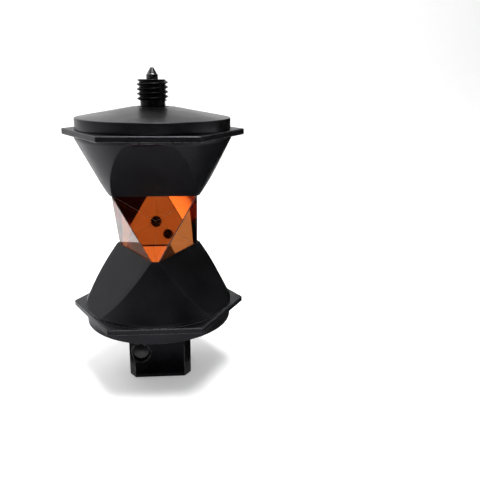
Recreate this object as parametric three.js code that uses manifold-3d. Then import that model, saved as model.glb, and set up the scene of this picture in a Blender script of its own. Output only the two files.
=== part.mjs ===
// 360 degree survey prism: six corner-cube prisms between two funnel housings, with a 5/8"-11 stud
// on top and a snap-in socket for a 12 mm stub underneath. Millimetres, +Z up, the socket's bottom
// face at z = 0, the release button facing -Y.
import * as THREE from 'three';
import { ConvexGeometry } from 'three/addons/geometries/ConvexGeometry.js';
import { mergeVertices } from 'three/addons/utils/BufferGeometryUtils.js';
import Module from 'manifold-3d';

const wasm = await Module();
wasm.setup();

// Overall layout
const BELT_Z = 87.2; // height of the middle of the two housings above the socket's bottom face
const FLANGE_OUT = 48.6; // middle to a flange's outer face
const FLANGE_THICK = 3.0;
const HEX_CORNER_R = 46.8; // six-sided flange, corners on the X axis
const HEX_CORNER_ROUND = 0.9;

// Glass: a regular octahedron cut into six corner-cube prisms and two empty cells
const GLASS_DROP = 1.6; // optical centre below the middle of the housings
const OCTA_EDGE = 43.8;
const OCTA_HALF = OCTA_EDGE / Math.sqrt(6); // half height, and each front face's distance
const GLUE_GAP = 0.1; // from each prism to the plane between it and its neighbour
const EDGE_BEVEL = 0.18;
const VERTEX_FLAT_R = 24.7; // vertices are cut back to this distance from the axis
const APEX_FLAT = 0.35; // distance of the cut apex from the optical centre
const GASKET_Z = OCTA_HALF + 0.1;
const GASKET_TOP = OCTA_HALF + 1.4;

// Funnel housings, measured from the middle between them
const LIP_Z = 15.75;
const LIP_R = 25.6;
const BASE_R = 39.9;
const FACET_LIP = 14.4; // axis to flat facet at the lip
const FACET_BASE = 38.5; // axis to flat facet at the round band
const BAND = 1.3; // upright round band between funnel and flange
const BAND_Z = FLANGE_OUT - FLANGE_THICK - BAND;
const WALL = 3.0;
const POCKET_GAP = 0.1;
const WEB_THICK = 3.0;
const COVER_BORE_R = 33.2;
const COVER_BORE_DEPTH = 5.6;

// Covers
const COVER_R = 39.45;
const COVER_RIM = 5.85;
const COVER_EDGE = 0.8;
const CONE_RISE = 5.1;
const TOP_WALL = 3.0;
const FLOOR_WALL = 3.6;
const LAND_R = 10.8;
const LAND_RECESS_R = 8.2; // shallow recess round the stud's neck
const LAND_RECESS = 0.3;
const BOSS_R = 13.0;
const BOSS_Z = FLANGE_OUT + 1.4; // underside of the boss that the stud's washer bears on
const SPIGOT_R = 33.0;
const SPIGOT_LENGTH = 4.8;
const SEAL_WIDTH = 1.6;
const SEAL_DEPTH = 1.5;

// Stud, 5/8"-11 UNC
const THREAD_R = 15.875 / 2;
const THREAD_PITCH = 25.4 / 11;
const THREAD_DEPTH = 1.35;
const THREAD_LENGTH = 10.4;
const NECK_R = 6.35;
const NECK_LENGTH = 2.9;
const SHANK_R = 6.0;
const SHANK_LENGTH = 17.5;
const TIP_R = 2.95;

// Socket block
const BLOCK_X = 34;
const BLOCK_Y = 28;
const BLOCK_Z = 30;
const BLOCK_CHAMFER_X = 3.4;
const BLOCK_CHAMFER_Y = 4.8;
const SOCKET_R = 6.05; // takes a 12 mm stub
const BUSH_R = 8.0;
const BUSH_LENGTH = 28;

// Release plunger, across the socket
const PLUNGER_X = -10.4;
const PLUNGER_Z = 14.8;
const PLUNGER_R = 5.0;
const PLUNGER_BORE_R = 5.09;
const PLUNGER_BORE_CHAMFER = 0.5;
const PLUNGER_FRONT_Y = -11.2;
const PLUNGER_BACK_Y = 9.0;
const PLUNGER_TRAVEL = 3.0;
const SPRING_R = 1.6;
const SPRING_WIRE_R = 0.3;
const PIN_R = 1.25;
const PIN_X = -14.3;
const PIN_Y = 5.0;
const SCREW_X = 11.8;
const SCREW_Y = 9.0;

const LARGE = 64; // segments of large rounds
const SMALL = 30; // segments of small rounds
const TINY = 18; // segments of screws, pins and their holes

// ---- solids and booleans ----

function toManifold(geometry) {
  const bare = geometry.clone();
  bare.deleteAttribute('normal');
  bare.deleteAttribute('uv');
  const merged = mergeVertices(bare, 1e-4);
  const corners = merged.index.array;
  const kept = [];
  for (let i = 0; i < corners.length; i += 3) {
    const [a, b, c] = [corners[i], corners[i + 1], corners[i + 2]];
    if (a !== b && b !== c && c !== a) kept.push(a, b, c);
  }
  return new wasm.Manifold(
    new wasm.Mesh({
      numProp: 3,
      vertProperties: Float32Array.from(merged.attributes.position.array),
      triVerts: Uint32Array.from(kept),
    }),
  );
}

function toGeometry(manifold) {
  const mesh = manifold.getMesh();
  const geometry = new THREE.BufferGeometry();
  geometry.setAttribute('position', new THREE.BufferAttribute(mesh.vertProperties, 3));
  geometry.setIndex(new THREE.BufferAttribute(mesh.triVerts, 1));
  geometry.computeVertexNormals();
  return geometry;
}

// Solid of revolution about Z from [radius, z] points listed anticlockwise in the r-z half plane.
function revolve(profile, segments = LARGE) {
  const points = [...profile, profile[0]].map(([r, z]) => new THREE.Vector2(r, z));
  return toManifold(new THREE.LatheGeometry(points, segments).rotateX(Math.PI / 2));
}

// Upright cylinder or frustum between two heights.
function drum(radius, z0, z1, segments = SMALL, topRadius = radius) {
  return revolve([[0, z0], [radius, z0], [topRadius, z1], [0, z1]], segments);
}

// Cylinder along Y.
function crossDrum(radius, x, z, y0, y1, segments = SMALL) {
  const body = new THREE.CylinderGeometry(radius, radius, y1 - y0, segments);
  return toManifold(body.translate(x, (y0 + y1) / 2, z));
}

// Upright prism over a closed outline of [x, y] points.
function extrude(outline, z0, z1) {
  const shape = new THREE.Shape(outline.map(([x, y]) => new THREE.Vector2(x, y)));
  const body = new THREE.ExtrudeGeometry(shape, { depth: z1 - z0, bevelEnabled: false });
  return toManifold(body.translate(0, 0, z0));
}

// Convex solid bounded by planes { normal, at }, each keeping the side where normal . p <= at.
function solidFromPlanes(planes) {
  const corners = [];
  for (let i = 0; i < planes.length; i += 1) {
    for (let j = i + 1; j < planes.length; j += 1) {
      for (let k = j + 1; k < planes.length; k += 1) {
        const corner = meetingPoint(planes[i], planes[j], planes[k]);
        const inside = corner && planes.every(({ normal, at }) => normal.dot(corner) <= at + 1e-6);
        if (inside && !corners.some((other) => other.distanceTo(corner) < 1e-4)) corners.push(corner);
      }
    }
  }
  return toManifold(new ConvexGeometry(corners));
}

function meetingPoint(a, b, c) {
  const bc = new THREE.Vector3().crossVectors(b.normal, c.normal);
  const ca = new THREE.Vector3().crossVectors(c.normal, a.normal);
  const ab = new THREE.Vector3().crossVectors(a.normal, b.normal);
  const volume = a.normal.dot(bc);
  if (Math.abs(volume) < 1e-9) return null;
  return bc.multiplyScalar(a.at).addScaledVector(ca, b.at).addScaledVector(ab, c.at).divideScalar(volume);
}

function polar(radius, degrees) {
  const angle = THREE.MathUtils.degToRad(degrees);
  return [radius * Math.cos(angle), radius * Math.sin(angle)];
}

// Hexagon with rounded corners, the first corner on +X.
function roundedHexagon(cornerRadius, round) {
  const outline = [];
  const centreRadius = cornerRadius - round / Math.cos(Math.PI / 6);
  for (let corner = 0; corner < 6; corner += 1) {
    for (const turn of [-30, -10, 10, 30]) {
      const [cx, cy] = polar(centreRadius, corner * 60);
      const [dx, dy] = polar(round, corner * 60 + turn);
      outline.push([cx + dx, cy + dy]);
    }
  }
  return outline;
}

// Plane facing away from the Z axis at an azimuth, through (r0, z0) and (r1, z1).
function leaningPlane(azimuth, r0, z0, r1, z1) {
  const run = new THREE.Vector2(z1 - z0, r0 - r1).normalize();
  const [x, y] = polar(run.x, azimuth);
  const normal = new THREE.Vector3(x, y, run.y);
  return { normal, at: run.x * r0 + run.y * z0 };
}

const UP = new THREE.Vector3(0, 0, 1);
const DOWN = new THREE.Vector3(0, 0, -1);

// ---- housings, in the upper one's frame with the middle between them at the origin ----

const FACET_AZIMUTHS = [270, 30, 150];
const VERTEX_AZIMUTHS = [90, 210, 330];

function funnelRadius(z) {
  return LIP_R + ((BASE_R - LIP_R) * (z - LIP_Z)) / (BAND_Z - LIP_Z);
}

function facetDistance(z) {
  return FACET_LIP + ((FACET_BASE - FACET_LIP) * (z - LIP_Z)) / (BAND_Z - LIP_Z);
}

// Cone trimmed by the three facet planes, drawn in by an inset, between two heights.
function funnel(inset, z0, z1) {
  const cone = drum(funnelRadius(z0) - inset, z0, z1, LARGE, funnelRadius(z1) - inset);
  const planes = FACET_AZIMUTHS.map((azimuth) =>
    leaningPlane(azimuth, facetDistance(z0) - inset, z0, facetDistance(z1) - inset, z1),
  );
  planes.push({ normal: UP, at: z1 }, { normal: DOWN, at: -z0 });
  return cone.intersect(solidFromPlanes(planes));
}

// Recess that the glass sits in, open towards the optical centre, which is at a height of its own.
function glassPocket(centreZ) {
  const planes = FACET_AZIMUTHS.map((azimuth) => {
    const { normal, at } = frontPlane(azimuth, 1);
    return { normal, at: at + normal.z * centreZ + POCKET_GAP };
  });
  for (const azimuth of VERTEX_AZIMUTHS) {
    const [x, y] = polar(1, azimuth);
    planes.push({ normal: new THREE.Vector3(x, y, 0), at: VERTEX_FLAT_R + POCKET_GAP });
  }
  planes.push({ normal: UP, at: centreZ + GASKET_TOP }, { normal: DOWN, at: -(LIP_Z - 1) });
  return solidFromPlanes(planes);
}

function housing(centreZ) {
  const flangeIn = FLANGE_OUT - FLANGE_THICK;
  const boreFloor = FLANGE_OUT - COVER_BORE_DEPTH;
  const cavityFloor = centreZ + GASKET_TOP + WEB_THICK;
  return funnel(0, LIP_Z, BAND_Z)
    .add(drum(BASE_R, BAND_Z, flangeIn, LARGE))
    .add(extrude(roundedHexagon(HEX_CORNER_R, HEX_CORNER_ROUND), flangeIn, FLANGE_OUT))
    .subtract(drum(COVER_BORE_R, boreFloor, FLANGE_OUT + 1, LARGE))
    .subtract(funnel(WALL, cavityFloor, boreFloor + 0.01).intersect(
      drum(COVER_BORE_R - 1.2, cavityFloor, boreFloor + 0.01, LARGE),
    ))
    .subtract(glassPocket(centreZ))
    .subtract(drum(2.25, cavityFloor - WEB_THICK - 1, cavityFloor + 1, TINY));
}

// ---- prisms and what holds them, with the optical centre at the origin ----

// Front face of the octahedron's side at an azimuth; lean is 1 where it points down, -1 where up.
function frontPlane(azimuth, lean) {
  const [x, y] = polar(Math.sqrt(8) / 3, azimuth);
  return { normal: new THREE.Vector3(x, y, lean / 3), at: OCTA_HALF };
}

// Planes through the optical centre and each edge of a front face, facing out of the prism.
function backNormals(azimuth, lean) {
  const ring = (turn, level) => {
    const [x, y] = polar(OCTA_EDGE / Math.sqrt(3), azimuth + turn);
    return new THREE.Vector3(x, y, level * OCTA_HALF);
  };
  const corners = [ring(0, -lean), ring(60, lean), ring(-60, lean)];
  return corners.map((corner, i) => {
    const next = corners[(i + 1) % 3];
    const normal = new THREE.Vector3().crossVectors(corner, next).normalize();
    const centre = corners.reduce((sum, c) => sum.add(c), new THREE.Vector3());
    return normal.dot(centre) > 0 ? normal.negate() : normal;
  });
}

function prism(azimuth, lean) {
  const front = frontPlane(azimuth, lean);
  const backs = backNormals(azimuth, lean).map((normal) => ({ normal, at: -GLUE_GAP }));
  const bevels = backs.map(({ normal, at }) => {
    const between = normal.clone().add(front.normal);
    const length = between.length();
    return { normal: between.divideScalar(length), at: (at + front.at - EDGE_BEVEL) / length };
  });
  const vertexCuts = [0, 60, -60].map((turn) => {
    const [x, y] = polar(1, azimuth + turn);
    return { normal: new THREE.Vector3(x, y, 0), at: VERTEX_FLAT_R };
  });
  const apexCut = { normal: front.normal.clone().negate(), at: -APEX_FLAT };
  return solidFromPlanes([front, ...backs, ...bevels, ...vertexCuts, apexCut]);
}

// Three-sided core filling the cell above the optical centre, with a tapped boss on top.
function core() {
  const planes = FACET_AZIMUTHS.map((azimuth) => {
    const [x, y] = polar(OCTA_EDGE / (2 * Math.sqrt(3)), azimuth);
    const along = new THREE.Vector3(x, y, OCTA_HALF).normalize();
    const across = new THREE.Vector3(-Math.sin(Math.atan2(y, x)), Math.cos(Math.atan2(y, x)), 0);
    const normal = new THREE.Vector3().crossVectors(across, along).normalize();
    if (normal.z > 0) normal.negate();
    return { normal, at: -GLUE_GAP };
  });
  for (const azimuth of VERTEX_AZIMUTHS) {
    const [x, y] = polar(1, azimuth);
    planes.push({ normal: new THREE.Vector3(x, y, 0), at: VERTEX_FLAT_R - 3 });
  }
  planes.push({ normal: DOWN, at: -3 }, { normal: UP, at: OCTA_HALF });
  return solidFromPlanes(planes)
    .add(drum(5, OCTA_HALF - 1, GASKET_TOP))
    .subtract(drum(2.1, 8, GASKET_TOP + 1, TINY));
}

function gasket() {
  const outline = [];
  for (const azimuth of VERTEX_AZIMUTHS) {
    outline.push(polar(21.5, azimuth - 4), polar(21.5, azimuth + 4));
  }
  return extrude(outline, GASKET_Z, GASKET_TOP).subtract(drum(5.3, OCTA_HALF, GASKET_TOP + 1));
}

// ---- fasteners, heads up, the bearing face at z = 0 ----

function hexagon(acrossFlats) {
  return [0, 60, 120, 180, 240, 300].map((turn) => polar(acrossFlats / Math.sqrt(3), turn));
}

function panScrew(shankRadius, length, headRadius, headHeight, key) {
  const head = revolve([
    [0, 0], [headRadius, 0], [headRadius, headHeight * 0.55], [headRadius * 0.75, headHeight],
    [0, headHeight],
  ], TINY);
  return head
    .add(drum(shankRadius, -length, 0.5, TINY))
    .subtract(extrude(hexagon(key), headHeight * 0.4, headHeight + 1));
}

// ---- covers, in the upper one's frame with the flange's outer face at z = 0 ----

function cover(landRadius, shellThick) {
  const slope = CONE_RISE / (COVER_R - COVER_EDGE - LAND_R);
  const top = COVER_RIM + slope * (COVER_R - COVER_EDGE - landRadius);
  const outside = revolve([
    [0, -SPIGOT_LENGTH], [SPIGOT_R, -SPIGOT_LENGTH], [SPIGOT_R, 0], [COVER_R, 0],
    [COVER_R, COVER_RIM - COVER_EDGE], [COVER_R - 0.25, COVER_RIM - 0.25],
    [COVER_R - COVER_EDGE, COVER_RIM], [landRadius, top], [0, top],
  ]);
  const inside = revolve([
    [0, -SPIGOT_LENGTH - 1], [SPIGOT_R - WALL, -SPIGOT_LENGTH - 1],
    [SPIGOT_R - WALL, COVER_RIM - shellThick + 0.6], [landRadius, top - shellThick], [0, top - shellThick],
  ]);
  const groove = revolve([
    [SPIGOT_R - SEAL_DEPTH, -3.4], [SPIGOT_R + 1, -3.4],
    [SPIGOT_R + 1, -3.4 + SEAL_WIDTH + 0.2], [SPIGOT_R - SEAL_DEPTH, -3.4 + SEAL_WIDTH + 0.2],
  ]);
  return { body: outside.subtract(inside).subtract(groove), top };
}

function seal() {
  return revolve([
    [SPIGOT_R - SEAL_DEPTH + 0.05, -3.3], [SPIGOT_R + 0.1, -3.3],
    [SPIGOT_R + 0.1, -3.3 + SEAL_WIDTH], [SPIGOT_R - SEAL_DEPTH + 0.05, -3.3 + SEAL_WIDTH],
  ]);
}

// ---- stud ----

// Threaded barrel whose surface follows a helix, fading out at both ends.
function thread(z0, length) {
  const rows = Math.round((length / THREAD_PITCH) * 7);
  const barrel = new THREE.CylinderGeometry(THREAD_R, THREAD_R, length, 36, rows);
  barrel.rotateX(Math.PI / 2).translate(0, 0, z0 + length / 2);
  const place = barrel.attributes.position;
  for (let i = 0; i < place.count; i += 1) {
    const [x, y, z] = [place.getX(i), place.getY(i), place.getZ(i)];
    const radius = Math.hypot(x, y);
    if (radius < 1e-6) continue;
    const turn = (z - z0) / THREAD_PITCH - Math.atan2(y, x) / (2 * Math.PI);
    const phase = Math.abs(((turn % 1) + 1) % 1 - 0.5) * 2;
    const cut = THREAD_DEPTH * THREE.MathUtils.clamp((phase - 0.12) / 0.7, 0, 1);
    const fromEnd = Math.min(z - z0, z0 + length - z);
    const limit = THREAD_R - Math.max(0, 1.0 - fromEnd) * 0.9;
    const scale = Math.min(THREAD_R - cut, limit) / radius;
    place.setXY(i, x * scale, y * scale);
  }
  return toManifold(barrel);
}

function stud(landZ) {
  const threadZ = landZ + NECK_LENGTH;
  const body = revolve([
    [0, landZ - SHANK_LENGTH], [SHANK_R - 0.6, landZ - SHANK_LENGTH], [SHANK_R, landZ - SHANK_LENGTH + 0.6],
    [SHANK_R, landZ - LAND_RECESS], [NECK_R, landZ - LAND_RECESS], [NECK_R, threadZ + 0.8],
    [0, threadZ + 0.8],
  ], SMALL);
  return body
    .add(thread(threadZ, THREAD_LENGTH))
    .subtract(drum(1.85, threadZ + THREAD_LENGTH - 9, threadZ + THREAD_LENGTH + 1, TINY));
}

function pointer(z0) {
  return revolve([
    [0, z0 - 7.5], [1.4, z0 - 7.5], [1.7, z0 - 7.2], [1.7, z0], [TIP_R - 0.2, z0], [TIP_R, z0 + 0.2],
    [TIP_R, z0 + 2.2], [TIP_R - 0.25, z0 + 2.5], [1.15, z0 + 5.2], [0.75, z0 + 5.7], [0, z0 + 5.9],
  ], SMALL);
}

// ---- socket ----

function blockOutline() {
  const [x, y] = [BLOCK_X / 2, BLOCK_Y / 2];
  const [cx, cy] = [x - BLOCK_CHAMFER_X, y - BLOCK_CHAMFER_Y];
  return [[-cx, -y], [cx, -y], [x, -cy], [x, cy], [cx, y], [-cx, y], [-x, cy], [-x, -cy]];
}

function socketBlock() {
  let body = extrude(blockOutline(), 0, BLOCK_Z)
    .subtract(drum(BUSH_R + 0.1, -1, BUSH_LENGTH + 0.2))
    .subtract(drum(BUSH_R + 1.6, -1, 1.3))
    .subtract(crossDrum(PLUNGER_BORE_R, PLUNGER_X, PLUNGER_Z, -BLOCK_Y, BLOCK_Y / 2 - 1.4))
    .subtract(boreMouth())
    .subtract(drum(PIN_R + 0.1, -1, 21, TINY).translate([PIN_X, PIN_Y, 0]));
  for (const [x, y] of screwPlaces()) {
    body = body.subtract(drum(2.1, BLOCK_Z - 9, BLOCK_Z + 1, TINY).translate([x, y, 0]));
  }
  return body;
}

// Countersink of the plunger's bore at the block's front face.
function boreMouth() {
  const chamfer = PLUNGER_BORE_CHAMFER;
  return drum(PLUNGER_BORE_R, 0, chamfer + 1, SMALL, PLUNGER_BORE_R + chamfer + 1)
    .rotate([90, 0, 0])
    .translate([PLUNGER_X, -BLOCK_Y / 2 + chamfer, PLUNGER_Z]);
}

function screwPlaces() {
  return [[-SCREW_X, -SCREW_Y], [SCREW_X, -SCREW_Y], [SCREW_X, SCREW_Y], [-SCREW_X, SCREW_Y]];
}

function socketBush() {
  return revolve([
    [SOCKET_R + 0.5, 0], [BUSH_R + 1.5, 0], [BUSH_R + 1.5, 1.2], [BUSH_R, 1.2], [BUSH_R, BUSH_LENGTH],
    [SOCKET_R, BUSH_LENGTH], [SOCKET_R, 0.5],
  ], SMALL).subtract(crossDrum(PLUNGER_BORE_R, PLUNGER_X, PLUNGER_Z, -12, 12));
}

function plunger() {
  const [x, z] = [PLUNGER_X, PLUNGER_Z];
  const springBore = crossDrum(SPRING_R + SPRING_WIRE_R + 0.15, x, z, 2.0, PLUNGER_BACK_Y + 1, TINY);
  const release = drum(SOCKET_R + 0.3, z - 10, z + 10, SMALL).translate([0, -PLUNGER_TRAVEL, 0]);
  const slotStart = PIN_Y - PIN_R - 0.05 - PLUNGER_TRAVEL;
  const slotEnd = PIN_Y + PIN_R + 0.1;
  const slotFloor = PIN_X + PIN_R + 0.15;
  const slot = extrude(
    [[x - 6, slotStart], [slotFloor, slotStart], [slotFloor, slotEnd], [x - 6, slotEnd]],
    z - 6,
    z + 6,
  );
  const front = revolve([
    [0, 0.45], [PLUNGER_R - 1.6, 0.25], [PLUNGER_R - 0.5, 0], [PLUNGER_R, 0.4], [PLUNGER_R, 3], [0, 3],
  ], SMALL).rotate([-90, 0, 0]).translate([x, PLUNGER_FRONT_Y, z]);
  return crossDrum(PLUNGER_R, x, z, PLUNGER_FRONT_Y + 2, PLUNGER_BACK_Y)
    .add(front)
    .subtract(springBore)
    .subtract(release)
    .subtract(slot);
}

function spring(y0, y1, turns) {
  class Coil extends THREE.Curve {
    getPoint(t) {
      const angle = t * turns * 2 * Math.PI;
      const y = THREE.MathUtils.lerp(y0 + SPRING_WIRE_R, y1 - SPRING_WIRE_R, t);
      return new THREE.Vector3(
        PLUNGER_X + SPRING_R * Math.cos(angle),
        y,
        PLUNGER_Z + SPRING_R * Math.sin(angle),
      );
    }
  }
  const wire = new THREE.Shape();
  wire.absarc(0, 0, SPRING_WIRE_R, 0, 2 * Math.PI);
  const options = { steps: turns * 12, curveSegments: 3, extrudePath: new Coil(), bevelEnabled: false };
  return toManifold(new THREE.ExtrudeGeometry(wire, options));
}

// ---- assembly ----

const FINISHES = {
  housing: { color: 0x1d1d20, roughness: 0.5, metalness: 0 },
  cover: { color: 0x202022, roughness: 0.5, metalness: 0 },
  block: { color: 0x161618, roughness: 0.4, metalness: 0 },
  stud: { color: 0x101011, roughness: 0.4, metalness: 0.6 },
  tip: { color: 0x0c0c0d, roughness: 0.2, metalness: 0.6 },
  steel: { color: 0xb8babd, roughness: 0.3, metalness: 1 },
  zinc: { color: 0x9b9d9f, roughness: 0.4, metalness: 1 },
  alloy: { color: 0xa7a9ac, roughness: 0.4, metalness: 1 },
  rubber: { color: 0x121212, roughness: 0.8, metalness: 0 },
  glass: { color: 0xb8541c, roughness: 0.08, metalness: 0.5 },
};

const assembly = new THREE.Group();
assembly.name = 'survey_prism';

function place(name, body, finish) {
  const mesh = new THREE.Mesh(toGeometry(body), new THREE.MeshStandardMaterial(FINISHES[finish]));
  mesh.name = name;
  assembly.add(mesh);
}

const raised = (body) => body.translate([0, 0, BELT_Z]);
const turnedOver = (body) => body.rotate([180, 0, 0]).translate([0, 0, BELT_Z]);
const aboutGlass = (body) => body.translate([0, 0, BELT_Z - GLASS_DROP]);
const belowGlass = (body) => aboutGlass(body.rotate([180, 0, 0]));

const topCover = cover(LAND_R, TOP_WALL);
const topCoverBody = topCover.body
  .add(drum(BOSS_R, BOSS_Z - FLANGE_OUT, topCover.top - 2, SMALL))
  .subtract(drum(SHANK_R + 0.15, -10, 20, SMALL))
  .subtract(drum(LAND_RECESS_R, topCover.top - LAND_RECESS, topCover.top + 1));
const upperLandZ = BELT_Z + FLANGE_OUT + topCover.top;
const threadTop = upperLandZ + NECK_LENGTH + THREAD_LENGTH;
const washer = drum(11.5, BOSS_Z - 1.6, BOSS_Z, SMALL).subtract(drum(SHANK_R + 0.3, 0, 60, SMALL));
const nut = extrude(hexagon(18), BOSS_Z - 8.1, BOSS_Z - 1.6).subtract(drum(SHANK_R + 0.08, 0, 60, SMALL));
place('point_tip', pointer(threadTop), 'tip');
place('threaded_stud', stud(upperLandZ), 'stud');
place('top_cover', raised(topCoverBody.translate([0, 0, FLANGE_OUT])), 'cover');
place('top_seal', raised(seal().translate([0, 0, FLANGE_OUT])), 'rubber');
place('stud_washer', raised(washer), 'zinc');
place('stud_nut', raised(nut), 'zinc');
place('upper_housing', raised(housing(-GLASS_DROP)), 'housing');
const coreScrew = panScrew(1.95, 13, 3.7, 2.6, 2.5).translate([0, 0, GASKET_TOP + WEB_THICK]);
place('core_screw_upper', aboutGlass(coreScrew), 'zinc');
place('upper_gasket', aboutGlass(gasket()), 'rubber');
place('upper_core', aboutGlass(core()), 'alloy');
[270, 330, 30, 90, 150, 210].forEach((azimuth, i) => {
  place(`prism_${i + 1}`, aboutGlass(prism(azimuth, i % 2 === 0 ? 1 : -1)), 'glass');
});
place('lower_core', belowGlass(core()), 'alloy');
place('lower_gasket', belowGlass(gasket()), 'rubber');
place('core_screw_lower', belowGlass(coreScrew), 'zinc');
place('lower_housing', turnedOver(housing(GLASS_DROP)), 'housing');

const seatRise = BELT_Z - FLANGE_OUT - BLOCK_Z - COVER_RIM;
const seatRadius = LAND_R + (COVER_R - COVER_EDGE - LAND_R) * (1 - seatRise / CONE_RISE);
let bottomCover = turnedOver(cover(seatRadius, FLOOR_WALL).body.translate([0, 0, FLANGE_OUT]));
for (const [x, y] of screwPlaces()) {
  bottomCover = bottomCover.subtract(drum(2.25, BLOCK_Z - 1, BLOCK_Z + 10, TINY).translate([x, y, 0]));
}
place('bottom_cover', bottomCover, 'cover');
place('bottom_seal', turnedOver(seal().translate([0, 0, FLANGE_OUT])), 'rubber');
screwPlaces().forEach(([x, y], i) => {
  const screw = panScrew(1.95, 11.5, 3.6, 2.5, 2.5).translate([x, y, BLOCK_Z + FLOOR_WALL]);
  place(`socket_screw_${i + 1}`, screw, 'zinc');
});
place('socket_block', socketBlock(), 'block');
place('socket_bush', socketBush(), 'steel');
place('release_plunger', plunger(), 'block');
place('plunger_spring', spring(2.1, BLOCK_Y / 2 - 1.45, 6), 'steel');
place('retaining_pin', drum(PIN_R, 0.3, 20.5, TINY).translate([PIN_X, PIN_Y, 0]), 'steel');

export default assembly;
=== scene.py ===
import math

import bmesh
import bpy
from mathutils import Matrix, Vector


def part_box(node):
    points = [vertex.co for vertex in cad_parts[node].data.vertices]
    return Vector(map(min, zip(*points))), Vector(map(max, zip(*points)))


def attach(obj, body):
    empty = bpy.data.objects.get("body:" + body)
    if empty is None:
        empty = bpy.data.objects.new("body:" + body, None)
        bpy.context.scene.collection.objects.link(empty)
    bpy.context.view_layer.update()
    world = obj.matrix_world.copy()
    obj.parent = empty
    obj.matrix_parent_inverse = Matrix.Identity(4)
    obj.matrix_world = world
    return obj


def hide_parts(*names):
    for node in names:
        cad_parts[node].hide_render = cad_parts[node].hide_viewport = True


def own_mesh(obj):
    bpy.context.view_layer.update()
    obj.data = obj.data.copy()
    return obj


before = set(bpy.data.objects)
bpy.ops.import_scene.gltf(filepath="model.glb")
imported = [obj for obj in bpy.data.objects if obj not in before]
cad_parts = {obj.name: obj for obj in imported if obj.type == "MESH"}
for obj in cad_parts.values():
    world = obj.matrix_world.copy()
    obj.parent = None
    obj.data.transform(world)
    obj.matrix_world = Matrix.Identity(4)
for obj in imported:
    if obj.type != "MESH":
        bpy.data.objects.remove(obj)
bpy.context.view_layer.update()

MM = 0.001
BODY = "prism_body"

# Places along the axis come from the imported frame, in millimetres.


def low(node):
    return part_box(node)[0] / MM


def high(node):
    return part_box(node)[1] / MM


MIDDLE_Z = (high("upper_housing").z + low("lower_housing").z) / 2
GLASS_Z = (high("prism_1").z + low("prism_1").z) / 2
FLANGE_OUT = high("upper_housing").z - MIDDLE_Z
LIP_Z = low("upper_housing").z - MIDDLE_Z
HEX_APOTHEM = high("upper_housing").y
COVER_R = high("top_cover").x
LAND_Z = high("top_cover").z
BLOCK_HIGH = high("socket_block")
PLUNGER_LOW = low("release_plunger")
PLUNGER_HIGH = high("release_plunger")

# Housings, measured from the middle between them
FLANGE_THICK = 3.0
HEX_ROUND = 0.97
LIP_R = 25.6
BASE_R = 39.9
FACET_LIP = 14.4
FACET_BASE = 38.5
BAND = 1.3
WALL = 3.0
WEB_THICK = 3.0
BORE_R = 33.2
BORE_DEPTH = 5.6
CORE_HOLE_R = 2.25
FACET_AZIMUTHS = (30, 150, 270)
RIDGE_ROUND = 0.55
BAND_BLEND = 0.7  # height over which the facets run out into the round band
LIP_SOFT = 0.12
FLANGE_CHAMFER = 0.32
BORE_CHAMFER = 0.3
BORE_LEDGE = 1.2
CAVITY_HEIGHTS = (38.5, 34, 29)

# Glass
GLASS_HALF = 43.8 / math.sqrt(6)
GLASS_VERTEX = 24.7
GASKET_TOP = GLASS_HALF + 1.4
POCKET_GAP = 0.1
POCKET_EASE = 0.05
GLASS_BEVEL = 0.045

# Covers
COVER_RIM = 5.85
COVER_EDGE = 0.8  # the cone meets the rim's height this far inside the rim
RIM_DROP = 0.1
COVER_WALL = 3.0
SEAT_WALL = 3.6
LAND_R = 10.8
RECESS_R = 8.2
RECESS = 0.3
SPIGOT_R = 33.0
SPIGOT_LENGTH = 4.8

# Stud and pointer
THREAD_R = 15.875 / 2
THREAD_PITCH = 25.4 / 11
THREAD_DEPTH = 1.35
THREAD_PHASE = 0.6  # turns
NECK_R = 6.35
NECK_LENGTH = 2.9
SHANK_R = 6.0
TIP_SHANK = 7.5  # length of the pointer's pin inside the stud
TIP_HOLE_R = 1.85
TIP_HOLE_DEPTH = 8.5

# Socket
CHAMFER_X = 3.4
CHAMFER_Y = 4.8
BUSH_R = 8.0
BUSH_GAP = 0.1
BUSH_BORE_DEPTH = 28.2
BUSH_FLANGE_R = BUSH_R + 1.5
BUSH_FLANGE_THICK = 1.2
SOCKET_R = 6.05
BORE_GAP = 0.09
PLUNGER_CHAMFER = 0.5
PLUNGER_BACK_WALL = 1.4
PLUNGER_TRAVEL = 3.0
PIN_X, PIN_Y = -14.3, 5.0  # retaining pin, which runs in the plunger's slot
SPRING_BORE_R = 2.05
SPRING_BORE_START = 2.0
SPRING_TURNS = 6
SPRING_R = 1.6
SPRING_WIRE_R = 0.3

# ---- loops and skins, in millimetres ----

CHORD, FILLET, ARC = 10, 4, 30  # steps of one 120 degree sector of a housing's section


def turned(u, v, azimuth):
    """Point with v along an azimuth and u anticlockwise from it."""
    a = math.radians(azimuth)
    return (v * math.cos(a) - u * math.sin(a), v * math.sin(a) + u * math.cos(a))


def between(a, b, steps):
    return [a + (b - a) * k / steps for k in range(steps)]


def trimmed_circle(radius, facet, z, fillet=RIDGE_ROUND):
    """Circle cut by three chords at a distance from the axis, its corners rounded."""
    reach = math.sqrt((radius - fillet) ** 2 - (facet - fillet) ** 2)
    lean = math.degrees(math.atan2(facet - fillet, reach))
    loop = []
    for azimuth in FACET_AZIMUTHS:
        loop += [turned(u, facet, azimuth) for u in between(-reach, reach, CHORD)]
        for t in between(90, lean, FILLET):
            du, dv = fillet * math.cos(math.radians(t)), fillet * math.sin(math.radians(t))
            loop.append(turned(reach + du, facet - fillet + dv, azimuth))
        loop += [turned(0, radius, a) for a in between(azimuth + 90 - lean, azimuth + 30 + lean, ARC)]
        for t in between(lean, 90, FILLET):
            du, dv = fillet * math.cos(math.radians(t)), fillet * math.sin(math.radians(t))
            loop.append(turned(-reach - du, facet - fillet + dv, azimuth + 120))
    return [(x, y, z) for x, y in loop]


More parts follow.
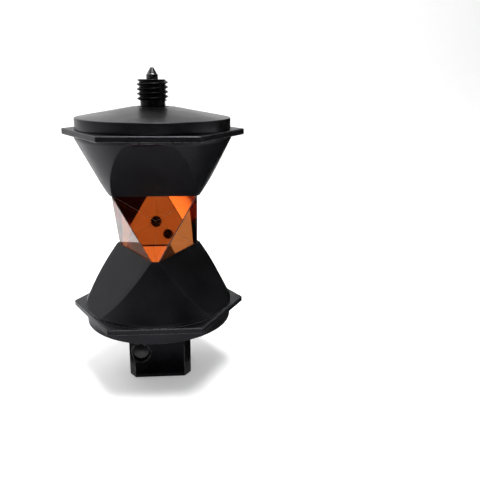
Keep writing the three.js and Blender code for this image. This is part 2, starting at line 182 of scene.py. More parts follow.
def six_sided(near, far, z, fillet):
    """Six sides, at one distance on the facet azimuths and at another between them, corners rounded."""
    loop = []
    for azimuth in FACET_AZIMUTHS:
        for turn, side, other, steps in ((0, near, far, CHORD), (60, far, near, ARC)):
            reach = ((other - fillet) - 0.5 * (side - fillet)) / math.cos(math.radians(30))
            loop += [turned(u, side, azimuth + turn) for u in between(-reach, reach, steps)]
            for t in between(90, 30, FILLET):
                du, dv = fillet * math.cos(math.radians(t)), fillet * math.sin(math.radians(t))
                loop.append(turned(reach + du, side - fillet + dv, azimuth + turn))
    return [(x, y, z) for x, y in loop]


def ring(radius, z, like):
    """Circle whose points keep the azimuths of another loop's."""
    return [(x * radius / math.hypot(x, y), y * radius / math.hypot(x, y), z) for x, y, _ in like]


def circle(radius, z, segments):
    return [(*turned(0, radius, 360 * k / segments), z) for k in range(segments)]


def quarter(steps=3):
    """Sine and cosine pairs from 0 to 90 degrees, for rounded edges."""
    return [(math.sin(a), math.cos(a)) for a in (math.pi / 2 * k / steps for k in range(steps + 1))]


def skin(name, loops, material, place=Matrix(), body=BODY, sharp=38, capped=False):
    """Closed surface over loops joined in order. The last is joined to the first, or both are capped."""
    bm = bmesh.new()
    rows = [[bm.verts.new(Vector(p) * MM) for p in loop] for loop in loops]
    count = len(rows[0])
    if capped:
        bm.faces.new(rows[0])
        bm.faces.new(rows[-1])
    for row, after in zip(rows, rows[1:] + ([] if capped else rows[:1])):
        for k in range(count):
            bm.faces.new((row[k], row[(k + 1) % count], after[(k + 1) % count], after[k]))
    bmesh.ops.remove_doubles(bm, verts=bm.verts, dist=1e-6)
    bmesh.ops.recalc_face_normals(bm, faces=bm.faces)
    bm.transform(place)
    return piece(name, bm, material, body, sharp)


def piece(name, bm, material, body=BODY, sharp=38):
    mesh = bpy.data.meshes.new(name)
    bm.to_mesh(mesh)
    bm.free()
    mesh.shade_smooth()
    mesh.set_sharp_from_angle(angle=math.radians(sharp))
    made = bpy.data.objects.new(name, mesh)
    bpy.context.scene.collection.objects.link(made)
    mesh.materials.append(material)
    if body:
        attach(made, body)
    return made


def softened(profile, steps=4):
    """Closed outline of [radius, z] corners, in which a third number is the size of a corner's rounding."""
    points = []
    count = len(profile)
    for k, (r, z, *size) in enumerate(profile):
        here = Vector((r, z))
        before = Vector(profile[k - 1][:2]) - here
        after = Vector(profile[(k + 1) % count][:2]) - here
        if not size:
            points.append((r, z))
            continue
        reach = min(size[0], before.length * 0.45, after.length * 0.45)
        start, end = here + before.normalized() * reach, here + after.normalized() * reach
        for step in range(steps + 1):
            t = step / steps
            points.append(tuple(start * (1 - t) ** 2 + here * 2 * t * (1 - t) + end * t ** 2))
    return points


def lathe(name, profile, material, segments=144, place=Matrix(), body=BODY, sharp=38):
    """Turned part from a closed [radius, z] outline."""
    loops = [circle(max(r, 1e-5), z, segments) for r, z in profile]
    return skin(name, loops, material, place, body, sharp)


def drum_cutter(radius, z0, z1, place=Matrix(), top=None, segments=72):
    loops = [circle(1e-5, z0, segments), circle(radius, z0, segments)]
    loops += [circle(top or radius, z1, segments), circle(1e-5, z1, segments)]
    return skin("cutter", loops, bpy.data.materials[0], place, body=None)


def cut(target, cutters):
    """Takes the cutters away from a piece for good."""
    for cutter in cutters:
        change = target.modifiers.new("cut", "BOOLEAN")
        change.operation = "DIFFERENCE"
        change.solver = "EXACT"
        change.object = cutter
    bpy.context.view_layer.update()
    done = bpy.data.meshes.new_from_object(target.evaluated_get(bpy.context.evaluated_depsgraph_get()))
    target.modifiers.clear()
    target.data = done
    for cutter in cutters:
        bpy.data.objects.remove(cutter)


def round_edges(target, width, angle=30, segments=3):
    bevel = target.modifiers.new("rounded_edges", "BEVEL")
    bevel.width = width * MM
    bevel.segments = segments
    bevel.limit_method = "ANGLE"
    bevel.angle_limit = math.radians(angle)
    bevel.use_clamp_overlap = True
    bevel.harden_normals = True
    return bevel


# ---- materials ----


def add(tree, kind, inputs=None, **settings):
    node = tree.nodes.new("ShaderNode" + kind)
    for key, value in settings.items():
        setattr(node, key, value)
    for key, value in (inputs or {}).items():
        if isinstance(value, bpy.types.NodeSocket):
            tree.links.new(value, node.inputs[key])
        else:
            node.inputs[key].default_value = value
    return node


def started(name):
    material = bpy.data.materials.new(name)
    material.use_nodes = True
    return material, material.node_tree, material.node_tree.nodes["Principled BSDF"]


def noise(tree, size_mm, detail=2.0, stretch=(1, 1, 1), offset=0.0):
    """Noise with features of a size, between about 0.3 and 0.7, in the object's own space."""
    where = add(tree, "TexCoord").outputs["Object"]
    scaled = add(tree, "Mapping", {"Vector": where, "Scale": stretch, "Location": (offset, offset, offset)})
    return add(
        tree, "TexNoise", {"Vector": scaled.outputs[0], "Scale": 1 / (size_mm * MM), "Detail": detail}
    ).outputs["Fac"]


def ramp(tree, value, low_value, high_value, low_out=0.0, high_out=1.0):
    limits = {"From Min": low_value, "From Max": high_value, "To Min": low_out, "To Max": high_out}
    return add(tree, "MapRange", {"Value": value, **limits}, interpolation_type="SMOOTHSTEP").outputs[0]


def mixed(tree, factor, a, b):
    node = add(tree, "Mix", data_type="RGBA")
    for index, value in ((0, factor), (6, a), (7, b)):
        if isinstance(value, bpy.types.NodeSocket):
            tree.links.new(value, node.inputs[index])
        else:
            node.inputs[index].default_value = value
    return node.outputs[2]


def edges(tree, radius_mm):
    """About 1 on outer edges and corners, and 0 on open faces."""
    rounded = add(tree, "Bevel", {"Radius": radius_mm * MM}, samples=6).outputs[0]
    plain = add(tree, "NewGeometry").outputs["Normal"]
    alike = add(tree, "VectorMath", {0: rounded, 1: plain}, operation="DOT_PRODUCT").outputs["Value"]
    return ramp(tree, alike, 0.995, 0.90)


def grey(value, tint=(1, 1, 1)):
    return (value * tint[0], value * tint[1], value * tint[2], 1)


def finish(
    name,
    dark,
    light,
    rough,
    grain_mm,
    bump_mm,
    patch_mm=9.0,
    stretch=(1, 1, 1),
    wear_and_highlight=None,
    wear_and_highlight_mm=0.5,
    wear_and_highlight_share=0.5,
    specks=None,
    metallic=0.0,
    specular=0.5,
    sheen=(1, 1, 1),
):
    """Opaque finish: patchy colour and roughness, fine grain, pale specks, and edges lightened as wear and,
    on the black finishes, as a painted highlight.
    """
    material, tree, bsdf = started(name)
    bsdf.inputs["Metallic"].default_value = metallic
    bsdf.inputs["Specular IOR Level"].default_value = specular
    bsdf.inputs["Specular Tint"].default_value = (*sheen, 1)
    patches = noise(tree, patch_mm, detail=4.0)
    grain = noise(tree, grain_mm, detail=3.0, stretch=stretch)
    colour = mixed(tree, ramp(tree, patches, 0.35, 0.65), dark, light)
    if specks:
        spots = ramp(tree, noise(tree, specks[1], detail=1.0, offset=3.1), 0.66, 0.72, 0.0, specks[2])
        colour = mixed(tree, spots, colour, specks[0])
    # Lighter edges: wear, and on the black finishes also a painted highlight along the edges.
    if wear_and_highlight:
        broken = ramp(tree, noise(tree, wear_and_highlight_mm * 4, detail=3.0, offset=7.7), 0.30, 0.55)
        worn_and_lit = add(tree, "Math", {0: edges(tree, wear_and_highlight_mm), 1: broken}, operation="MULTIPLY").outputs[0]
        share = add(tree, "Math", {0: worn_and_lit, 1: wear_and_highlight_share}, operation="MULTIPLY").outputs[0]
        colour = mixed(tree, share, colour, wear_and_highlight)
    tree.links.new(colour, bsdf.inputs["Base Color"])
    coarse = ramp(tree, patches, 0.3, 0.7, rough[0], rough[1])
    fine = ramp(tree, grain, 0.3, 0.7, -0.04, 0.04)
    roughness = add(tree, "Math", {0: coarse, 1: fine}, operation="ADD").outputs[0]
    tree.links.new(roughness, bsdf.inputs["Roughness"])
    bump = add(tree, "Bump", {"Strength": 1.0, "Distance": bump_mm * MM, "Height": grain})
    tree.links.new(bump.outputs[0], bsdf.inputs["Normal"])
    return material


COOL = (0.97, 0.94, 1.12)
# The pale edge colour of the housings is partly wear and partly a painted highlight along the flange edges.
SHELL = finish(
    "moulded_black", grey(0.0012, COOL), grey(0.0024, COOL), (0.34, 0.44), 0.34, 0.016, patch_mm=14,
    wear_and_highlight=grey(0.24), wear_and_highlight_mm=0.32, wear_and_highlight_share=0.75, specks=(grey(0.03), 0.4, 0.45), specular=0.19, sheen=COOL,
)
# The pale edge colour of the covers is partly wear and partly a painted highlight along the rim edges.
COVER = finish(
    "satin_black", grey(0.0018), grey(0.0034), (0.27, 0.35), 0.22, 0.006, patch_mm=18,
    wear_and_highlight=grey(0.16), wear_and_highlight_mm=0.3, wear_and_highlight_share=0.5, specks=(grey(0.025), 0.3, 0.2), specular=0.21, sheen=COOL,
)
# The pale edge colour of the block is partly wear and partly a painted highlight along its edges.
BLOCK = finish(
    "gloss_black", grey(0.001), grey(0.002), (0.24, 0.33), 0.35, 0.006, patch_mm=8,
    wear_and_highlight=grey(0.38), wear_and_highlight_mm=0.35, wear_and_highlight_share=0.6, specular=0.11, sheen=COOL,
)
STUD = finish(
    "blackened_steel", grey(0.0012), grey(0.0022), (0.24, 0.34), 0.15, 0.006, patch_mm=3,
    stretch=(0.15, 0.15, 1), wear_and_highlight=grey(0.05), wear_and_highlight_mm=0.2, wear_and_highlight_share=0.4, specular=0.12,
)
TIP = finish(
    "polished_black", grey(0.0012), grey(0.003), (0.10, 0.16), 0.3, 0.06, patch_mm=2,
    stretch=(1, 1, 0.1), wear_and_highlight=grey(0.08), wear_and_highlight_mm=0.2, wear_and_highlight_share=0.4, specular=0.7,
)
BUTTON = finish(
    "satin_button", grey(0.002), grey(0.004), (0.16, 0.24), 0.2, 0.006, patch_mm=2,
    wear_and_highlight=grey(0.25), wear_and_highlight_mm=0.3, wear_and_highlight_share=0.6, specular=0.45,
)
STEEL = finish(
    "turned_steel", grey(0.50), grey(0.62, (1, 0.98, 0.95)), (0.20, 0.32), 0.10, 0.004, patch_mm=3,
    stretch=(0.1, 0.1, 1), wear_and_highlight=grey(0.7), wear_and_highlight_mm=0.3, metallic=1.0,
)
ZINC = finish(
    "zinc_plate", grey(0.42), grey(0.55, (0.96, 0.98, 1)), (0.28, 0.42), 0.25, 0.008, patch_mm=2,
    wear_and_highlight=grey(0.65), wear_and_highlight_mm=0.25, metallic=1.0,
)
ALLOY = finish(
    "milled_alloy", grey(0.48), grey(0.60), (0.30, 0.42), 0.12, 0.006, patch_mm=4,
    stretch=(1, 0.1, 1), wear_and_highlight=grey(0.7), wear_and_highlight_mm=0.3, metallic=1.0,
)
SPRING = finish(
    "spring_wire", grey(0.36), grey(0.48), (0.22, 0.34), 0.08, 0.002, patch_mm=1.2, metallic=1.0,
)
RUBBER = finish(
    "black_rubber", grey(0.012), grey(0.02), (0.62, 0.80), 0.18, 0.02, patch_mm=4, specular=0.3,
)

MIRROR_COLOUR = (0.95, 0.51, 0.25, 1)
MIRROR_PALE = (0.955, 0.535, 0.275, 1)
GLASS_IOR = 1.51


def mirror_back():
    """Copper film on the back of the glass."""
    material, tree, bsdf = started("copper_mirror")
    bsdf.inputs["Metallic"].default_value = 1.0
    patches = noise(tree, 5, detail=3.0)
    tint = mixed(tree, ramp(tree, patches, 0.3, 0.7), MIRROR_COLOUR, MIRROR_PALE)
    tree.links.new(tint, bsdf.inputs["Base Color"])
    tree.links.new(ramp(tree, noise(tree, 1.5), 0.35, 0.7, 0.0, 0.03), bsdf.inputs["Roughness"])
    return material


def front_glass():
    """Polished front face."""
    material, tree, bsdf = started("optical_glass")
    bsdf.inputs["Base Color"].default_value = (1, 1, 1, 1)
    bsdf.inputs["Transmission Weight"].default_value = 1.0
    bsdf.inputs["IOR"].default_value = GLASS_IOR
    tree.links.new(ramp(tree, noise(tree, 3.0, detail=4.0), 0.5, 0.8, 0.0, 0.03), bsdf.inputs["Roughness"])
    return material


def ground_edge_painted_shade_and_light(name, dark, light):
    """Finely ground bevel between two polished faces. Where it faces up or down it takes one mid grey: a
    painted shade on the pale back edges and a painted light on the dark front bevels.
    """
    material, tree, bsdf = started(name)
    grain = noise(tree, 0.08, detail=2.0)
    tint = mixed(tree, ramp(tree, grain, 0.3, 0.7), grey(dark, (1, 0.94, 0.88)), grey(light, (1, 0.95, 0.9)))
    lean = add(tree, "SeparateXYZ", {0: add(tree, "NewGeometry").outputs["Normal"]}).outputs["Z"]
    # Bevels facing up or down get a mid grey: painted shade on the back edges, painted light on the front
    # bevels.
    level_painted_shade_and_light = ramp(tree, add(tree, "Math", {0: lean}, operation="ABSOLUTE").outputs[0], 0.5, 0.75)
    tree.links.new(mixed(tree, level_painted_shade_and_light, tint, grey(0.3, (1, 0.9, 0.8))), bsdf.inputs["Base Color"])
    bsdf.inputs["Specular IOR Level"].default_value = 0.0
    tree.links.new(ramp(tree, grain, 0.3, 0.7, 0.35, 0.6), bsdf.inputs["Roughness"])
    bump = add(tree, "Bump", {"Strength": 0.6, "Distance": 0.01 * MM, "Height": grain})
    tree.links.new(bump.outputs[0], bsdf.inputs["Normal"])
    return material


MIRROR, GLASS = mirror_back(), front_glass()
FRONT_BEVEL = ground_edge_painted_shade_and_light("front_bevel", 0.05, 0.16)
BACK_EDGE = ground_edge_painted_shade_and_light("back_edge", 0.75, 0.95)

# ---- housings ----


def funnel_radius(z):
    t = (z - LIP_Z) / (FLANGE_OUT - FLANGE_THICK - BAND - LIP_Z)
    return LIP_R + (BASE_R - LIP_R) * t


def facet_distance(z):
    t = (z - LIP_Z) / (FLANGE_OUT - FLANGE_THICK - BAND - LIP_Z)
    return FACET_LIP + (FACET_BASE - FACET_LIP) * t


def housing_loops(glass_z):
    """Loops round the upper housing's wall: the glass's pocket, the outside, then down the cavity."""

    def pocket(z, wider=0.0):
        side = (GLASS_HALF + POCKET_GAP - (z - glass_z) / 3) / (math.sqrt(8) / 3)
        return six_sided(side + wider, GLASS_VERTEX + POCKET_GAP + wider, z, 0.3)

    flange_in = FLANGE_OUT - FLANGE_THICK
    band_z = flange_in - BAND
    web_z = glass_z + GASKET_TOP
    loops = [ring(CORE_HOLE_R, web_z, pocket(web_z)), pocket(web_z)]
    loops += [pocket(LIP_Z + POCKET_EASE), pocket(LIP_Z, POCKET_EASE)]
    for sine, cosine in quarter():
        z = LIP_Z + LIP_SOFT * (1 - cosine)
        inset = LIP_SOFT * (1 - sine)
        loops.append(trimmed_circle(funnel_radius(z) - inset, facet_distance(z) - inset, z))
    levels = 26
    for k in range(1, levels + 1):
        z = LIP_Z + LIP_SOFT + (band_z - LIP_Z - LIP_SOFT) * k / levels
        loops.append(trimmed_circle(funnel_radius(z), facet_distance(z), z))
    loops += [ring(BASE_R, band_z + BAND_BLEND, loops[-1]), ring(BASE_R, flange_in, loops[-1])]
    for sine, cosine in quarter(1):
        side = HEX_APOTHEM - FLANGE_CHAMFER * (1 - sine)
        loops.append(six_sided(side, side, flange_in + FLANGE_CHAMFER * (1 - cosine), HEX_ROUND))
    for sine, cosine in quarter(1):
        side = HEX_APOTHEM - FLANGE_CHAMFER * (1 - cosine)
        loops.append(six_sided(side, side, FLANGE_OUT - FLANGE_CHAMFER * (1 - sine), HEX_ROUND))
    floor = FLANGE_OUT - BORE_DEPTH
    loops.append(ring(BORE_R + BORE_CHAMFER, FLANGE_OUT, loops[-1]))
    loops.append(ring(BORE_R, FLANGE_OUT - BORE_CHAMFER, loops[-1]))
    loops += [ring(BORE_R, floor, loops[-1]), ring(BORE_R - BORE_LEDGE, floor, loops[-1])]
    for z in (*CAVITY_HEIGHTS, web_z + WEB_THICK):
        radius = min(BORE_R - BORE_LEDGE, funnel_radius(z) - WALL)
        loops.append(trimmed_circle(radius, facet_distance(z) - WALL, z))
    loops.append(ring(CORE_HOLE_R, web_z + WEB_THICK, loops[-1]))
    return loops


UPRIGHT = Matrix.Translation((0, 0, MIDDLE_Z * MM))
TURNED_OVER = UPRIGHT @ Matrix.Rotation(math.pi, 4, "X")

HOUSINGS = (("upper", UPRIGHT, GLASS_Z - MIDDLE_Z), ("lower", TURNED_OVER, MIDDLE_Z - GLASS_Z))
for side, place, glass_z in HOUSINGS:
    shell = skin(f"{side}_shell", housing_loops(glass_z), SHELL, place)
    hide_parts(f"{side}_housing")

# ---- covers ----

COVER_SLOPE = (LAND_Z - MIDDLE_Z - FLANGE_OUT - COVER_RIM) / (COVER_R - COVER_EDGE - LAND_R)


def cover_outline(inner_r, land_r, wall, recessed):
    """Wall of a cover, with the flange's outer face at z = 0."""
    top = COVER_RIM + COVER_SLOPE * (COVER_R - COVER_EDGE - land_r)
    mouth = [(inner_r, top)]
    if recessed:
        mouth = [(inner_r, top - RECESS), (RECESS_R, top - RECESS, 0.08), (RECESS_R, top, 0.12)]
    return softened(mouth + [
        (land_r, top, 0.5), (COVER_R, COVER_RIM - RIM_DROP, 0.5), (COVER_R, 0, 0.25), (SPIGOT_R, 0),
        (SPIGOT_R, -SPIGOT_LENGTH, 0.3), (SPIGOT_R - WALL, -SPIGOT_LENGTH, 0.3),
        (SPIGOT_R - WALL, COVER_RIM - wall + 0.6), (land_r, top - wall), (inner_r, top - wall),
    ])


SEAT_R = COVER_R - COVER_EDGE - (low("lower_housing").z - BLOCK_HIGH.z - COVER_RIM) / COVER_SLOPE
COVERS = (
    ("top", UPRIGHT, (SHANK_R + 0.15, LAND_R, COVER_WALL, True)),
    ("bottom", TURNED_OVER, (1e-5, SEAT_R, SEAT_WALL, False)),
)
for side, place, form in COVERS:
    outer_face = place @ Matrix.Translation((0, 0, FLANGE_OUT * MM))
    cap = lathe(f"{side}_cap", cover_outline(*form), COVER, 180, outer_face)
    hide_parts(f"{side}_cover")

# ---- stud and pointer ----

STUD_TOP = low("point_tip").z + TIP_SHANK


def thread_radius(azimuth, z, z0, z1):
    """Thread of 60 degree flanks with rounded crest and root, run out at both ends."""
    turn = (z - z0) / THREAD_PITCH - azimuth / 360 + THREAD_PHASE
    phase = abs((turn % 1) - 0.5) * 2
    t = min(max((phase - 0.10) / 0.74, 0), 1)
    cut_depth = THREAD_DEPTH * (0.75 * t + 0.25 * t * t * (3 - 2 * t))
    limit = THREAD_R - max(0, 1.0 - min(z - z0, z1 - z)) * 0.9
    return min(THREAD_R - cut_depth, limit)


def stud():
    thread_z = LAND_Z + NECK_LENGTH
    foot = low("threaded_stud").z
    segments = 120
    plain = [
        (1e-5, foot), (SHANK_R - 0.6, foot), (SHANK_R, foot + 0.6), (SHANK_R, LAND_Z - RECESS),
        (NECK_R, LAND_Z - RECESS), (NECK_R, thread_z - 0.15), (NECK_R, thread_z),
    ]
    loops = [circle(r, z, segments) for r, z in plain]
    rows = 112
    for k in range(rows + 1):
        z = thread_z + (STUD_TOP - thread_z) * k / rows
        loop = []
        for j in range(segments):
            azimuth = 360 * j / segments
            loop.append((*turned(0, thread_radius(azimuth, z, thread_z, STUD_TOP), azimuth), z))
        loops.append(loop)
    loops.append(circle(TIP_HOLE_R, STUD_TOP, segments))
    loops.append(circle(TIP_HOLE_R, STUD_TOP - TIP_HOLE_DEPTH, segments))
    loops.append(circle(1e-5, STUD_TOP - TIP_HOLE_DEPTH, segments))
    return loops


made = skin("stud", stud(), STUD, sharp=60)
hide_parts("threaded_stud")

tip_low = STUD_TOP - TIP_SHANK
tip_outline = [
    (1e-5, tip_low), (1.4, tip_low), (1.7, tip_low + 0.3), (1.7, STUD_TOP), (2.95, STUD_TOP, 0.2),
    (2.95, STUD_TOP + 2.35, 0.25), (2.62, STUD_TOP + 2.6, 0.2), (1.05, STUD_TOP + 5.35, 0.3),
    (0.75, STUD_TOP + 5.75, 0.3), (1e-5, STUD_TOP + 5.9),
]
made = lathe("pointer", softened(tip_outline), TIP, 96)
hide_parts("point_tip")

# ---- socket block, bush and plunger ----

PLUNGER_X = (PLUNGER_LOW.x + PLUNGER_HIGH.x) / 2
PLUNGER_Z = (PLUNGER_LOW.z + PLUNGER_HIGH.z) / 2
PLUNGER_R = (PLUNGER_HIGH.z - PLUNGER_LOW.z) / 2
LAID_DOWN = Matrix.Rotation(-math.pi / 2, 4, "X")
ALONG_Y = Matrix.Translation((PLUNGER_X * MM, 0, PLUNGER_Z * MM)) @ LAID_DOWN


def block():
    """Block with chamfered corners, bored from below for the bush and from the front for the plunger."""
    x, y, z = BLOCK_HIGH
    cx, cy = x - CHAMFER_X, y - CHAMFER_Y
    outline = [(-cx, -y), (cx, -y), (x, -cy), (x, cy), (cx, y), (-cx, y), (-x, cy), (-x, -cy)]
    bm = bmesh.new()
    face = bm.faces.new([bm.verts.new((px * MM, py * MM, 0)) for px, py in outline])
    swept = bmesh.ops.extrude_face_region(bm, geom=[face])["geom"]
    raised = [g for g in swept if isinstance(g, bmesh.types.BMVert)]
    bmesh.ops.translate(bm, verts=raised, vec=(0, 0, z * MM))
    bmesh.ops.recalc_face_normals(bm, faces=bm.faces)
    made = piece("block", bm, BLOCK)
    bore = PLUNGER_R + BORE_GAP
    mouth = -y
    cut(made, [
        drum_cutter(BUSH_R + BUSH_GAP, -1, BUSH_BORE_DEPTH),
        drum_cutter(BUSH_FLANGE_R + BUSH_GAP, -1, BUSH_FLANGE_THICK + BUSH_GAP),
        drum_cutter(bore, mouth - 5, y - PLUNGER_BACK_WALL, ALONG_Y),
        drum_cutter(bore + PLUNGER_CHAMFER + 1, mouth - 1, mouth + PLUNGER_CHAMFER, ALONG_Y, top=bore),
    ])
    made.data.shade_smooth()
    made.data.set_sharp_from_angle(angle=math.radians(30))
    round_edges(made, 0.28)
    return made


made = block()
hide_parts("socket_block")


def plunger():
    """Button with a dished face, scalloped for the stub and hollowed for the spring and the pin."""
    front, back = PLUNGER_LOW.y, PLUNGER_HIGH.y
    outline = [
        (1e-5, front + 0.82), (1.0, front + 0.74), (PLUNGER_R - 0.8, front + 0.06, 0.3),
        (PLUNGER_R - 0.4, front, 0.2), (PLUNGER_R, front + 0.4, 0.25), (PLUNGER_R, back, 0.3), (1e-5, back),
    ]
    made = lathe("button", softened(outline), BUTTON, 96, ALONG_Y, "release_button")
    pressed = Matrix.Translation((0, -PLUNGER_TRAVEL * MM, 0))
    scallop = drum_cutter(SOCKET_R + 0.3, PLUNGER_Z - 10, PLUNGER_Z + 10, pressed)
    bore = drum_cutter(SPRING_BORE_R, SPRING_BORE_START, back + 1, ALONG_Y, segments=36)
    slot = bpy.data.objects.new("cutter", bpy.data.meshes.new("cutter"))
    bm = bmesh.new()
    bmesh.ops.create_cube(bm, size=1.0)
    low_x, high_x = PLUNGER_X - 6, PIN_X + 1.4
    low_y, high_y = PIN_Y - 1.3 - PLUNGER_TRAVEL, PIN_Y + 1.35
    bm.transform(
        Matrix.Translation(Vector(((low_x + high_x) / 2, (low_y + high_y) / 2, PLUNGER_Z)) * MM)
        @ Matrix.Diagonal(((high_x - low_x) * MM, (high_y - low_y) * MM, 12 * MM, 1))
    )
    bm.to_mesh(slot.data)
    bm.free()
    bpy.context.scene.collection.objects.link(slot)
    cut(made, [scallop, bore, slot])
    made.data.shade_smooth()
    made.data.set_sharp_from_angle(angle=math.radians(35))
    return made


made = plunger()
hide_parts("release_plunger")

bush_top = high("socket_bush").z
bush_outline = [
    (SOCKET_R + 0.5, 0, 0.1), (BUSH_FLANGE_R, 0, 0.25), (BUSH_FLANGE_R, BUSH_FLANGE_THICK),
    (BUSH_R, BUSH_FLANGE_THICK), (BUSH_R, bush_top), (SOCKET_R, bush_top), (SOCKET_R, 0.5, 0.1),
]
made = lathe("bush", softened(bush_outline), STEEL, 96)
cut(made, [drum_cutter(PLUNGER_R + BORE_GAP, -12, 12, ALONG_Y)])
made.data.shade_smooth()
made.data.set_sharp_from_angle(angle=math.radians(35))
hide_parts("socket_bush")


def coil(radius, wire_r, length, turns, steps=24, around=10):
    """Loops along a helix that starts at the origin and climbs along Z."""
    loops = []
    climb = (length - 2 * wire_r) / (turns * steps)
    for k in range(turns * steps + 1):
        azimuth = 360 * k / steps
        loop = []
        for j in range(around):
            a = 2 * math.pi * j / around
            out, up = radius + wire_r * math.cos(a), wire_r + climb * k + wire_r * math.sin(a)
            loop.append((*turned(0, out, azimuth), up))
        loops.append(loop)
    return loops


spring_low, spring_high = low("plunger_spring"), high("plunger_spring")
spring_length = spring_high.y - spring_low.y
spring_place = Matrix.Translation((PLUNGER_X * MM, spring_low.y * MM, PLUNGER_Z * MM)) @ LAID_DOWN
spring_loops = coil(SPRING_R, SPRING_WIRE_R, spring_length, SPRING_TURNS)
made = skin("spring", spring_loops, SPRING, spring_place, capped=True)
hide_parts("plunger_spring")
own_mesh(made)

# ---- glass, and the parts kept as packed ----

CENTRE = Vector((0, 0, GLASS_Z * MM))
for k, azimuth in enumerate((270, 330, 30, 90, 150, 210)):
    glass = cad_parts[f"prism_{k + 1}"]
    lean = 1 if k % 2 == 0 else -1
    x, y = turned(0, math.sqrt(8) / 3, azimuth)
    front = Vector((x, y, lean / 3))
    glass.data.materials.clear()
    for material in (GLASS, MIRROR, FRONT_BEVEL, BACK_EDGE):
        glass.data.materials.append(material)
    for face in glass.data.polygons:
        behind = face.normal.dot(face.center - CENTRE) < 0
        face.material_index = 0 if face.normal.dot(front) > 0.999 else 1 if behind else 2
        face.use_smooth = False
    weld = glass.modifiers.new("weld", "WELD")
    weld.merge_threshold = 0.002 * MM
    bevel = round_edges(glass, GLASS_BEVEL, angle=80, segments=1)
    bevel.harden_normals = False
    bevel.material = 3

KEPT = {
    "top_seal": RUBBER, "bottom_seal": RUBBER, "upper_gasket": RUBBER, "lower_gasket": RUBBER,
    "stud_washer": ZINC, "stud_nut": ZINC, "core_screw_upper": ZINC, "core_screw_lower": ZINC,
    "socket_screw_1": ZINC, "socket_screw_2": ZINC, "socket_screw_3": ZINC, "socket_screw_4": ZINC,
    "upper_core": ALLOY, "lower_core": ALLOY, "retaining_pin": STEEL,
}
for node, material in KEPT.items():
    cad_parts[node].data.materials.clear()
    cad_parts[node].data.materials.append(material)

# ---- floor, lights and camera, in metres ----

SWEEP_START, SWEEP_R = 0.9, 0.5

# Camera fitted to the photo. Its height is counted from the middle between the housings.
CAMERA_PLACE = (0.0183, -0.2926, 0.0748)
CAMERA_ANGLES = (5.26, 16.50, 0.62)  # yaw, pitch and roll in degrees
FOCAL_LENGTH, SENSOR_WIDTH = 41.5, 36  # millimetres


def floor():
    """Pale sweep: level in front, curving up into a wall behind."""
    profile = [(-1.2, 0.0), (SWEEP_START, 0.0)]
    for k in range(1, 16):
        a = math.radians(6 * k)
        profile.append((SWEEP_START + SWEEP_R * math.sin(a), SWEEP_R - SWEEP_R * math.cos(a)))
    profile.append((SWEEP_START + SWEEP_R, 2.2))
    bm = bmesh.new()
    rows = [[bm.verts.new((x, y, z)) for x in (-2.5, -0.8, 0.8, 2.5)] for y, z in profile]
    for row, after in zip(rows, rows[1:]):
        for k in range(3):
            bm.faces.new((row[k], row[k + 1], after[k + 1], after[k]))
    material, tree, bsdf = started("pale_floor")
    tint = mixed(tree, ramp(tree, noise(tree, 40, detail=3.0), 0.3, 0.7), grey(0.86), grey(0.88))
    tree.links.new(tint, bsdf.inputs["Base Color"])
    bsdf.inputs["Roughness"].default_value = 0.9
    bsdf.inputs["Specular IOR Level"].default_value = 0.1
    bsdf.inputs["Emission Color"].default_value = grey(1.0)
    bsdf.inputs["Emission Strength"].default_value = 0.3
    made = piece("sweep", bm, material, body=None)


def softbox(name, place, aim, size, watts):
    light = bpy.data.lights.new(name, "AREA")
    light.shape = "RECTANGLE"
    light.size, light.size_y = size
    light.energy = watts
    lamp = bpy.data.objects.new(name, light)
    lamp.location = place
    lamp.rotation_euler = (Vector(aim) - Vector(place)).to_track_quat("-Z", "Y").to_euler()
    bpy.context.scene.collection.objects.link(lamp)


def surroundings():
    """Soft light all round, dim on the camera's side and at the right, and white where the camera sees it."""
    world = bpy.data.worlds.new("studio")
    bpy.context.scene.world = world
    world.use_nodes = True
    tree = world.node_tree
    where = add(tree, "SeparateXYZ", {0: add(tree, "TexCoord").outputs["Generated"]})
    depth = add(tree, "ValToRGB", {0: ramp(tree, where.outputs["Y"], -1.0, 1.0)})
    across = add(tree, "ValToRGB", {0: ramp(tree, where.outputs["X"], -1.0, 1.0)})
    depth_levels = ((0.004, 0.14), (0.10, 0.45), (0.85, 1.0))
    across_levels = ((0.15, 1.0), (0.45, 0.7), (0.6, 0.6), (0.78, 0.04))
    for node, levels in ((depth, depth_levels), (across, across_levels)):
        stops = node.color_ramp.elements
        stops[0].position, stops[0].color = levels[0][0], grey(levels[0][1])
        stops[1].position, stops[1].color = levels[-1][0], grey(levels[-1][1])
        for position, value in levels[1:-1]:
            stops.new(position).color = grey(value)
    level = add(tree, "Math", {0: depth.outputs[0], 1: across.outputs[0]}, operation="MULTIPLY").outputs[0]
    seen = add(tree, "LightPath").outputs["Is Camera Ray"]
    shown = add(tree, "Math", {0: level, 1: seen}, operation="MAXIMUM").outputs[0]
    tree.links.new(shown, tree.nodes["Background"].inputs["Strength"])
    tree.nodes["Background"].inputs["Color"].default_value = (1, 1, 1, 1)


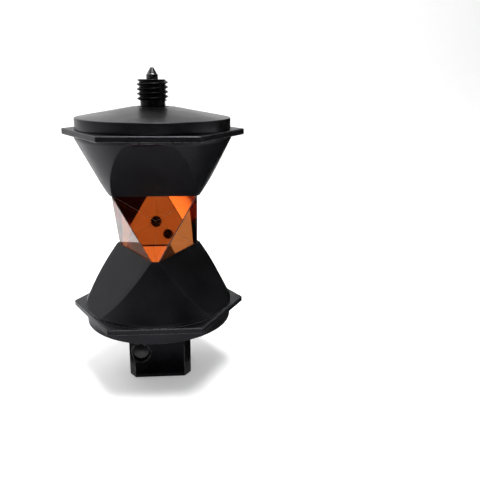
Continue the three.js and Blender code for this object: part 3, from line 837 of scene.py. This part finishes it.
def camera():
    x, y, z = CAMERA_PLACE
    yaw, pitch, roll = (math.radians(a) for a in CAMERA_ANGLES)
    forward = Vector((math.sin(yaw) * math.cos(pitch), math.cos(yaw) * math.cos(pitch), -math.sin(pitch)))
    right = Vector((math.cos(yaw), -math.sin(yaw), 0))
    up = right.cross(forward)
    across = right * math.cos(roll) + up * math.sin(roll)
    above = up * math.cos(roll) - right * math.sin(roll)
    lens = bpy.data.cameras.new("view")
    lens.lens = FOCAL_LENGTH
    lens.sensor_width = SENSOR_WIDTH
    lens.clip_start = 0.01
    made = bpy.data.objects.new("view", lens)
    facing = Matrix((across, above, -forward)).transposed().to_4x4()
    made.matrix_world = Matrix.Translation((x, y, MIDDLE_Z * MM + z)) @ facing
    bpy.context.scene.collection.objects.link(made)
    bpy.context.scene.camera = made
    return made


def card(name, corners, shade):
    """Matt card beside the set, seen only by reflection."""
    material, tree, bsdf = started(name)
    tint = mixed(tree, noise(tree, 20.0), grey(shade * 0.95), grey(shade * 1.05))
    tree.links.new(tint, bsdf.inputs["Base Color"])
    bsdf.inputs["Roughness"].default_value = 0.8
    bsdf.inputs["Specular IOR Level"].default_value = 0.0
    bm = bmesh.new()
    bm.faces.new([bm.verts.new(corner) for corner in corners])
    made = piece(name, bm, material, body=None)
    made.visible_camera = False
    made.visible_shadow = False
    made.visible_diffuse = False


def camera_front(view):
    """Front of the camera with its two dark lenses, which the corner prisms send straight back to it."""
    discs = (  # name, place and radius in millimetres, shade
        ("camera_face", 0, 0, 1.0, 36, 0.30),
        ("lens_main", 0, 0, 0, 5.9, 0.002),
        ("lens_second", -12.6, 13.2, 0, 5.3, 0.002),
    )
    for name, x, y, z, radius, shade in discs:
        rim = [Vector((x + a, y + b, z)) * MM for a, b in (turned(0, radius, 7.5 * k) for k in range(48))]
        card(name, [view.matrix_world @ point for point in rim], shade)


def upright_card(name, x0, x1, y, z0, z1, shade):
    card(name, [(x0, y, z0), (x1, y, z0), (x1, y, z1), (x0, y, z1)], shade)


def level_card(name, x0, x1, y0, y1, z, shade):
    card(name, [(x0, y0, z), (x1, y0, z), (x1, y1, z), (x0, y1, z)], shade)


scene = bpy.context.scene
scene.view_settings.view_transform = "Standard"
scene.cycles.max_bounces = 16
scene.cycles.glossy_bounces = 10
scene.cycles.transmission_bounces = 10
floor()
surroundings()
# name, place, point it is turned to, size, watts
softbox("key", (-0.6, 0.6, 1.2), (-0.1, 0.1, 0.0), (1.2, 1.0), 8)
softbox("top", (0.1, -0.15, 1.1), (0, 0.0, 0.0), (0.4, 0.5), 15)
softbox("side", (0.9, 0.0, 0.55), (0, 0, 0.09), (0.4, 0.4), 1.2)
camera_front(camera())
glass_height = GLASS_Z * MM
# name, x from and to, y, z from and to, shade
upright_card("hood", -0.085, 0.015, -0.297, glass_height + 0.104, glass_height + 0.19, 0.01)
upright_card("left_card", -0.12, -0.02, -0.30, glass_height - 0.03, glass_height + 0.014, 0.22)
upright_card("right_card", 0.055, 0.14, -0.30, glass_height, glass_height + 0.057, 0.36)
upright_card("right_flag", 0.05, 0.26, 0.045, 0.001, 0.2, 0.01)
# name, x from and to, y from and to, z, shade
level_card("floor_card", -0.15, 0.15, -0.13, -0.036, 0.002, 0.59)
level_card("left_floor_card", -0.09, -0.025, -0.045, 0.05, 0.002, 0.1)
# block_floor_card is a darker sheet on the floor just in front of the block: painted shade, seen only in
# reflections.
level_card("block_floor_card", -0.025, 0.025, -0.036, -0.014, 0.002, 0.25)
level_card("right_floor_card", 0.025, 0.3, -0.045, 0.045, 0.002, 0.05)
level_card("front_flag", -0.7, 0.7, -1.2, -0.36, 0.003, 0.02)
